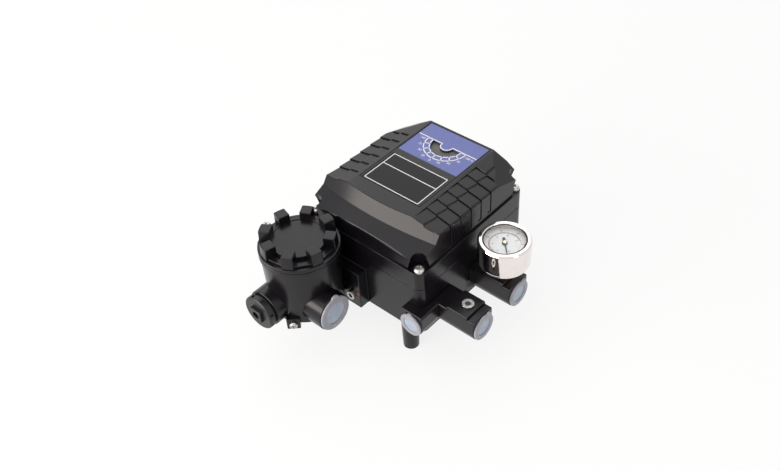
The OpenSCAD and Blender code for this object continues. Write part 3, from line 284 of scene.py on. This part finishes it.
# edge radius of each piece in mm, as cast, moulded or turned
edgeRadius = {
    "base_housing": 0.7, "legs": 0.6, "front_port_boss": 0.7, "mid_port_boss": 0.7, "gauge_port_boss": 0.7,
    "cover_shell": 0.5, "terminal_housing": 0.8, "terminal_cap": 0.9,
    "conduit_plug": 0.5, "conduit_dust_cap": 0.4, "mid_dust_cap": 0.35, "gauge_dust_cap": 0.35,
    "front_dust_cap": 0.35, "gauge_bezel": 0.3, "gauge_case": 0.5, "gauge_stem": 0.4,
    "cover_screws": 0.2, "neck_screws": 0.25, "cap_lock_screw": 0.2, "ground_screw": 0.2,
    "gauge_port_plug": 0.25, "dial_plate": 0.12, "name_plate": 0.12, "motor_yoke": 0.3,
    "pilot_body": 0.4, "pilot_end_caps": 0.3, "adjuster_bracket": 0.3, "zero_knob": 0.3,
    "span_knob": 0.3, "terminal_block": 0.3, "follower_lever": 0.3, "cam": 0.25, "main_shaft": 0.4,
    "motor_coil": 0.4, "motor_magnets": 0.3, "nozzle": 0.2, "auto_manual_screw": 0.25,
    "cam_nut": 0.3,
}
bodyOf = {name: body for body, names in frame["record"]["behaviour"]["bodies"].items() for name in names}
slotOf = {part["node"]: part["material_slot"] for part in frame["record"]["subparts"]}


def addPiece(name, bm, finish, body):
    mesh = bpy.data.meshes.new(name)
    bm.to_mesh(mesh)
    bm.free()
    piece = bpy.data.objects.new(name, mesh)
    scene.collection.objects.link(piece)
    mesh.materials.append(finishes[finish])
    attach(piece, body)
    return piece


# how edges are picked and rounded
rounding = {
    "weld": 0.003, "flat": 0.5,  # points joined within, mm, and faces merged within, degrees
    "least": 28, "shares": (1, 0.5, 0.25),  # degrees, and shares of the radius: narrow faces take a smaller one
    "faceRoom": 2.4, "cornerRoom": 1.1,  # room that an edge needs, in radii
    "plain": 4, "small": 6, "fullWidth": 0.6,  # corners of a plain and a small face, share of its width for an edge
    "inLine": 0.94,  # cosine above which two edges run on as one
    "smooth": 24, "narrow": 0.3,  # degrees, and the share of a face's area below which a neighbour is narrow
}


def shadeByAngle(bm):
    for edge in bm.edges:
        edge.smooth = len(edge.link_faces) == 2 and edge.calc_face_angle(0) < math.radians(rounding["smooth"])
    for face in bm.faces:  # a face that only meets narrow roundings stays flat
        beside = [other.calc_area() for edge in face.edges if edge.smooth
                  for other in edge.link_faces if other != face]
        face.smooth = max(beside, default=0) > rounding["narrow"] * face.calc_area()


def faceReach(face, edge):
    # room for a rounded edge: the width of a strip, or how far a small face runs from the edge
    start = edge.verts[0].co
    along = (edge.verts[1].co - start).normalized()
    runs = [(v.co - start).dot(along) for v in face.verts]
    fullWidth = edge.calc_length() > rounding["fullWidth"] * (max(runs) - min(runs))
    corners = len(face.verts)
    if corners > rounding["small"] or corners > rounding["plain"] and not fullWidth:
        return 2 * face.calc_area() / face.calc_perimeter()
    return max(((v.co - start) - along * run).length for v, run in zip(face.verts, runs))


def leaving(edge, vert):
    return (edge.other_vert(vert).co - vert.co).normalized()


def cornerRoom(edge):
    # length of the shortest edge that turns off at either end, which the rounding must not pass
    room = math.inf
    for vert in edge.verts:
        for other in vert.link_edges:
            if other != edge and any(face in edge.link_faces for face in other.link_faces):
                if abs(leaving(edge, vert).dot(leaving(other, vert))) < rounding["inLine"]:
                    room = min(room, other.calc_length())
    return room


def runsOn(edge, vert, picked):
    # whether a picked edge carries on from this edge's end in nearly the same direction
    return any(other in picked and leaving(edge, vert).dot(leaving(other, vert)) < -rounding["inLine"]
               for other in vert.link_edges if other != edge)


def roundEdges(bm, radius, least, chosen=lambda edge: True, steps=3):
    sharp = [e for e in bm.edges if len(e.link_faces) == 2 and e.is_convex
             and e.calc_face_angle(0) > math.radians(least) and chosen(e)]
    outer = [e for e in sharp
             if min(faceReach(face, e) for face in e.link_faces) > rounding["faceRoom"] * radius * mm
             and cornerRoom(e) > rounding["cornerRoom"] * radius * mm]
    picked = set(outer)
    outer += [e for e in sharp if e not in picked and all(runsOn(e, vert, picked) for vert in e.verts)]
    bmesh.ops.bevel(bm, geom=outer, offset=radius * mm, offset_type="OFFSET", segments=steps, profile=0.5,
                    affect="EDGES", clamp_overlap=False)


# the cover's long ridges are rounder than its other edges: the side shoulders and the apron's brow
ridges = {"radius": 1.5, "least": 18, "above": 8, "sideBeyond": 50, "browWithin": 8,  # mm, degrees
          "screwRise": 3.4, "straight": 0.9, "steps": 5}
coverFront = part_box("cover_shell")[0].y
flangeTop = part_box("cover_screws")[1].z - ridges["screwRise"] * mm


def isRidge(edge):
    middle = (edge.verts[0].co + edge.verts[1].co) / 2
    run = (edge.verts[1].co - edge.verts[0].co).normalized()
    if middle.z < flangeTop + ridges["above"] * mm:
        return False
    shoulder = abs(run.y) > ridges["straight"] and abs(middle.x) > ridges["sideBeyond"] * mm
    brow = abs(run.x) > ridges["straight"] and middle.y < coverFront + ridges["browWithin"] * mm
    return shoulder or brow


def roundedPiece(nodeName, radius):
    # the node's own solid with its outer edges rounded, as a casting or moulding leaves the tool
    bm = bmesh.new()
    bm.from_mesh(nodes[nodeName].data)
    bmesh.ops.remove_doubles(bm, verts=bm.verts, dist=rounding["weld"] * mm)
    bmesh.ops.dissolve_limit(bm, angle_limit=math.radians(rounding["flat"]), verts=bm.verts, edges=bm.edges)
    if nodeName == "cover_shell":
        roundEdges(bm, ridges["radius"], ridges["least"], isRidge, ridges["steps"])
    for share in rounding["shares"]:
        roundEdges(bm, radius * share, rounding["least"])
    shadeByAngle(bm)
    piece = addPiece(nodeName + "_piece", bm, slotOf[nodeName], bodyOf[nodeName])
    even = piece.modifiers.new("flatFaces", "WEIGHTED_NORMAL")
    even.keep_sharp = True
    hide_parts(nodeName)
    return piece


for nodeName, cadNode in nodes.items():
    cadNode.data.materials.clear()
    cadNode.data.materials.append(finishes[slotOf[nodeName]])
rounded = {nodeName: roundedPiece(nodeName, radius) for nodeName, radius in edgeRadius.items()}
print("rounded pieces:", len(rounded))

# faces sunk below the front of a piece: finish, way the front looks, depths in mm, number of corners if fixed
sunkFaces = {
    # the thin dished skin of each dust cap shows the cavity behind it as a bluish pool
    "conduit_dust_cap": ("cap_skin", (1, 0, 0), (0.2, 1.5), None),
    "mid_dust_cap": ("cap_skin", (1, 0, 0), (0.2, 1.5), None),
    "gauge_dust_cap": ("cap_skin", (1, 0, 0), (0.2, 1.5), None),
    "front_dust_cap": ("cap_skin", (0, -1, 0), (0.2, 1.5), None),
    # painted shade: the floors of the hexagon sockets take the dark magnet finish, standing in for the shade in the
    # recess
    "gauge_port_plug": ("magnet", (0, 0, 1), (0.6, 2), 6),
    "neck_screws": ("magnet", (0, -1, 0), (0.6, 2), 6),
}
facesFront = 0.9  # cosine


def finishSunk(nodeName, finish, facing, depths, corners):
    mesh = rounded[nodeName].data
    mesh.materials.append(finishes[finish])
    outward = Vector(facing)
    front = max(v.co.dot(outward) for v in mesh.vertices)
    for face in mesh.polygons:
        sunk = front - face.center.dot(outward)
        if face.normal.dot(outward) > facesFront and depths[0] * mm < sunk < depths[1] * mm:
            if corners in (None, len(face.vertices)):
                face.material_index = 1


for nodeName, how in sunkFaces.items():
    finishSunk(nodeName, *how)
# the dark socket floors above are painted shade
print("dust caps dished, sockets blackened")


# flat outlines in mm, cut from ink film
def ringSector(inner, outer, start, end, steps=48):
    angles = [math.radians(start + (end - start) * k / steps) for k in range(steps + 1)]
    rim = [(outer * math.cos(a), outer * math.sin(a)) for a in angles]
    return rim + [(inner * math.cos(a), inner * math.sin(a)) for a in reversed(angles)]


def bar(x0, y0, x1, y1):
    return [(x0, y0), (x1, y0), (x1, y1), (x0, y1)]


def spoke(angle, inner, outer, width):
    a = math.radians(angle)
    along = Vector((math.cos(a), math.sin(a)))
    side = Vector((-along.y, along.x)) * width / 2
    return [tuple(along * inner - side), tuple(along * outer - side),
            tuple(along * outer + side), tuple(along * inner + side)]


def addFilm(bm, outline, centre, base, thickness):
    ring = [bm.verts.new(((x + centre[0]) * mm, (y + centre[1]) * mm, base * mm)) for x, y in outline]
    bottom = bm.faces.new(ring)
    bottom.normal_update()
    if bottom.normal.z > 0:
        bottom.normal_flip()
    raised = bmesh.ops.extrude_face_region(bm, geom=[bottom], use_keep_orig=True)["geom"]
    for v in raised:
        if isinstance(v, bmesh.types.BMVert):
            v.co.z += thickness * mm


def addFigure(bm, text, size, centre, turn, base, thickness):
    curve = bpy.data.curves.new("figure", "FONT")
    curve.body = text
    curve.size = size * mm
    curve.align_x = "CENTER"
    curve.align_y = "CENTER"
    curve.extrude = thickness / 2 * mm
    shape = bpy.data.objects.new("figure", curve)
    scene.collection.objects.link(shape)
    bpy.context.view_layer.update()
    mesh = shape.to_mesh()
    place = Matrix.Translation(Vector((centre[0], centre[1], base + thickness / 2)) * mm)
    mesh.transform(place @ Matrix.Rotation(math.radians(turn), 4, "Z"))
    bm.from_mesh(mesh)
    shape.to_mesh_clear()
    bpy.data.objects.remove(shape)
    bpy.data.curves.remove(curve)


film = 0.05  # mm, ink thickness, drawn thicker than real so that it shows at a distance
filmSunk = film / 4  # mm, how far the ink bites into the plate

# dial print round the half-ring window
dial = {
    "line": 0.9, "rule": (0.2, 30.2), "innerRim": 5.0, "windowRim": 14.35, "scaleRim": 19.2,
    "figures": ["100", "75", "50", "25", "0", "25", "50", "75", "100"],
    "figureRing": 22.8, "figureSize": 3.3, "from": 180, "to": 360,
    "figureInset": 7, "wideFigureOut": 1.0, "percent": (5.4, -2.9),  # degrees, mm, mm
}


def printDial():
    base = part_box("dial_plate")[1].z / mm - filmSunk
    bm = bmesh.new()
    low, half = dial["rule"]
    w = dial["line"]
    outlines = [bar(-half, low, -dial["innerRim"], low + w), bar(dial["innerRim"], low, half, low + w)]
    for rim in ("innerRim", "windowRim", "scaleRim"):
        outlines.append(ringSector(dial[rim], dial[rim] + w, dial["from"], dial["to"]))
    cells = len(dial["figures"]) - 1
    sweep = dial["to"] - dial["from"]
    for k in range(cells + 1):
        outlines.append(spoke(dial["from"] + sweep * k / cells, dial["windowRim"], dial["scaleRim"] + w, w))
    for outline in outlines:
        addFilm(bm, outline, (0, 0), base, film)
    inset = dial["figureInset"]
    for k, figure in enumerate(dial["figures"]):
        angle = math.radians(dial["from"] + inset + (sweep - 2 * inset) * k / cells)
        out = dial["figureRing"] + (dial["wideFigureOut"] if len(figure) > 2 else 0)
        centre = (out * math.cos(angle), out * math.sin(angle))
        addFigure(bm, figure, dial["figureSize"], centre, 0, base, film)
    past, below = dial["percent"]
    addFigure(bm, "%", dial["figureSize"], (dial["figureRing"] + past, below), 0, base, film)
    addPiece("dial_print", bm, "white_ink", "cover")


# plain white rule round the name plate
nameRule = {"half": 28.3, "front": -71.0, "back": -33.5, "line": 0.75, "divider": -48.4}


def printNameRule():
    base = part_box("name_plate")[1].z / mm - filmSunk
    bm = bmesh.new()
    x, y0, y1, w = nameRule["half"], nameRule["front"], nameRule["back"], nameRule["line"]
    divider = nameRule["divider"]
    for outline in (bar(-x, y0, x, y0 + w), bar(-x, y1 - w, x, y1), bar(-x, y0 + w, -x + w, y1 - w),
                    bar(x - w, y0 + w, x, y1 - w), bar(-x + w, divider, x - w, divider + w)):
        addFilm(bm, outline, (0, 0), base, film)
    addPiece("name_rule", bm, "white_ink", "cover")


# gauge scale: red figures outside, black inside, round most of the dial
gaugeScale = {
    "line": 0.24, "up": 135, "arcSteps": 96,
    "tick": (0.7, 1), "majorTick": (1.3, 1.4),  # reach in mm, share of the line's width
    "out": {"ink": "red_ink", "zero": 293, "sweep": -260, "rim": 12.6, "ticks": 25, "ring": 15.0, "size": 2.3,
            "figures": ["0", "30", "60", "90", "120", "150"]},
    "in": {"ink": "black_ink", "zero": -33, "sweep": -270, "rim": 12.2, "ticks": 50, "ring": 9.4, "size": 2.2,
           "figures": ["0", "2", "4", "6", "8", "10"]},
}


def printGauge():
    low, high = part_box("gauge_dial")
    centre = ((low.x + high.x) / 2 / mm, (low.y + high.y) / 2 / mm)
    base = high.z / mm - filmSunk
    for side, name in (("out", "gauge_red_scale"), ("in", "gauge_black_scale")):
        look = gaugeScale[side]
        zero, sweep, rim, ticks = look["zero"], look["sweep"], look["rim"], look["ticks"]
        line = gaugeScale["line"]
        steps = len(look["figures"]) - 1
        outward = 1 if look["ring"] > rim else -1
        bm = bmesh.new()
        addFilm(bm, ringSector(rim, rim + line, zero, zero + sweep, gaugeScale["arcSteps"]), centre, base, film)
        for k in range(ticks + 1):
            reach, share = gaugeScale["majorTick" if k % (ticks // steps) == 0 else "tick"]
            mark = spoke(zero + sweep * k / ticks, rim, rim + outward * reach, line * share)
            addFilm(bm, mark, centre, base, film)
        for k, figure in enumerate(look["figures"]):
            angle = math.radians(zero + sweep * k / steps)
            spot = (centre[0] + look["ring"] * math.cos(angle), centre[1] + look["ring"] * math.sin(angle))
            addFigure(bm, figure, look["size"], spot, gaugeScale["up"] - 90, base, film)
        addPiece(name, bm, look["ink"], "base")


printDial()
printNameRule()
printGauge()
print("scales printed")


def addTurned(bm, profile, centre, steps=72):
    # closed profile of radius and height in mm, turned round an upright axis
    rings = []
    for k in range(steps):
        a = 2 * math.pi * k / steps
        spots = [(centre[0] + r * math.cos(a), centre[1] + r * math.sin(a), z) for r, z in profile]
        rings.append([bm.verts.new((x * mm, y * mm, z * mm)) for x, y, z in spots])
    for k in range(steps):
        here, there = rings[k], rings[(k + 1) % steps]
        for j in range(len(profile)):
            n = (j + 1) % len(profile)
            bm.faces.new((here[j], there[j], there[n], here[n]))
    bmesh.ops.recalc_face_normals(bm, faces=bm.faces)


# gauge pointer: tapered blade with a counterweight, a brass hub, and a black ring round the lens that is painted
# shade and dark reflection of the bezel's inner lip
pointer = {"angle": -45, "lift": 0.6, "tip": 14, "widths": (1.3, 0.4), "tail": (-6.0, -2.6), "tailWidth": 2.0,
           "blade": 0.5, "bladeRoot": 0.5, "boss": (2.35, 0.9), "bossSides": 6,
           "hub": (1.75, 1.5), "hubEdge": 0.3, "hubSides": 40, "bore": 0.01}  # mm, degrees
# black ring laid on the lens at the bezel's inner edge, in the rubber finish: painted shade and dark reflection of
# the bezel's lip
paintedShadeRing = {"inner": 16.5, "outer": 17.5, "rise": 0.3, "lean": 0.2}


def turnOutline(outline, angle):
    a = math.radians(angle)
    return [(x * math.cos(a) - y * math.sin(a), x * math.sin(a) + y * math.cos(a)) for x, y in outline]


def makePointer():
    low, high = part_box("gauge_dial")
    centre = ((low.x + high.x) / 2 / mm, (low.y + high.y) / 2 / mm)
    base = high.z / mm + pointer["lift"]
    root, tip = pointer["widths"]
    back, front = pointer["tail"]
    half = pointer["tailWidth"] / 2
    start = front - pointer["bladeRoot"]
    blade = [(start, -root / 2), (pointer["tip"], -tip / 2), (pointer["tip"], tip / 2), (start, root / 2)]
    bm = bmesh.new()
    for outline in (blade, bar(back, -half, front, half)):
        addFilm(bm, turnOutline(outline, pointer["angle"]), centre, base, pointer["blade"])
    bore, edge = pointer["bore"], pointer["hubEdge"]
    radius, height = pointer["boss"]
    addTurned(bm, [(bore, base), (radius, base), (radius, base + height), (bore, base + height)], centre,
              pointer["bossSides"])
    piece = addPiece("gauge_pointer_piece", bm, "black_enamel", "pointer")
    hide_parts("gauge_pointer")
    radius, height = pointer["hub"]
    bm = bmesh.new()
    addTurned(bm, [(bore, base), (radius, base), (radius, base + height - edge), (radius - edge, base + height),
                   (bore, base + height)], centre, pointer["hubSides"])
    addPiece("gauge_hub", bm, "pale_brass", "pointer")
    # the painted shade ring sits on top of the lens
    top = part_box("gauge_lens")[1].z / mm
    inner, outer, rise = paintedShadeRing["inner"], paintedShadeRing["outer"], paintedShadeRing["rise"]
    bm = bmesh.new()
    addTurned(bm, [(inner, top), (outer, top), (outer, top + rise), (inner + paintedShadeRing["lean"], top + rise)], centre)
    addPiece("lens_painted_shade_ring", bm, "rubber", "base")


# dab of tamper lacquer beside the neck screw
dab = {"place": (1.0, 47.0), "size": (1.5, 0.5, 2.2), "headRise": 2.6,  # x and z on the neck flange, mm
       "uneven": 0.14, "ripple": (3.1, 2.3, 2.7)}


def dropLacquer():
    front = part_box("neck_screws")[0].y + dab["headRise"] * mm
    across, up, second = dab["ripple"]
    bm = bmesh.new()
    bmesh.ops.create_icosphere(bm, subdivisions=4, radius=mm)
    for v in bm.verts:
        x, z = v.co.x / mm, v.co.z / mm
        swell = 1 + dab["uneven"] * math.sin(across * x + up * z) * math.cos(second * z)
        v.co = Vector((v.co.x * dab["size"][0], v.co.y * dab["size"][1], v.co.z * dab["size"][2])) * swell
        v.co += Vector((dab["place"][0] * mm, front, dab["place"][1] * mm))
    for face in bm.faces:
        face.smooth = True
    addPiece("lacquer_dab", bm, "red_lacquer", "base")


makePointer()
dropLacquer()
print("gauge pointer, gasket and lacquer made")


# pale seamless floor at the plane of the leg ends, with its own glow so that the ground stays white
setting = {"floorHalf": 6, "colour": "#f4f4f3", "tones": ("#f2f2f1", "#f6f6f5"), "grain": 400,  # m, mm
           "roughness": 0.9, "glow": 0.82, "glowColour": "#ffffff"}


def paleFloor():
    finish, tree, shader, spot = newFinish("paleFloor", setting["colour"], setting["roughness"])
    setTone(tree, shader, addNoise(tree, spot, setting["grain"], 2), (0, 1), setting["tones"])
    share = addNode(tree, "ShaderNodeMath", operation="MULTIPLY", values={1: setting["glow"]},
                    links={0: seenRay(tree)})
    glow = addNode(tree, "ShaderNodeEmission", values={"Color": srgb(setting["glowColour"])})
    blend = addNode(tree, "ShaderNodeMixShader",
                    links={"Fac": share.outputs[0], 1: shader.outputs[0], 2: glow.outputs[0]})
    tree.links.new(blend.outputs[0], tree.nodes["Material Output"].inputs["Surface"])
    return finish


def layFloor():
    bm = bmesh.new()
    bmesh.ops.create_grid(bm, x_segments=1, y_segments=1, size=setting["floorHalf"])
    mesh = bpy.data.meshes.new("floor")
    bm.to_mesh(mesh)
    bm.free()
    sheet = bpy.data.objects.new("floor", mesh)
    scene.collection.objects.link(sheet)
    mesh.materials.append(paleFloor())


layFloor()
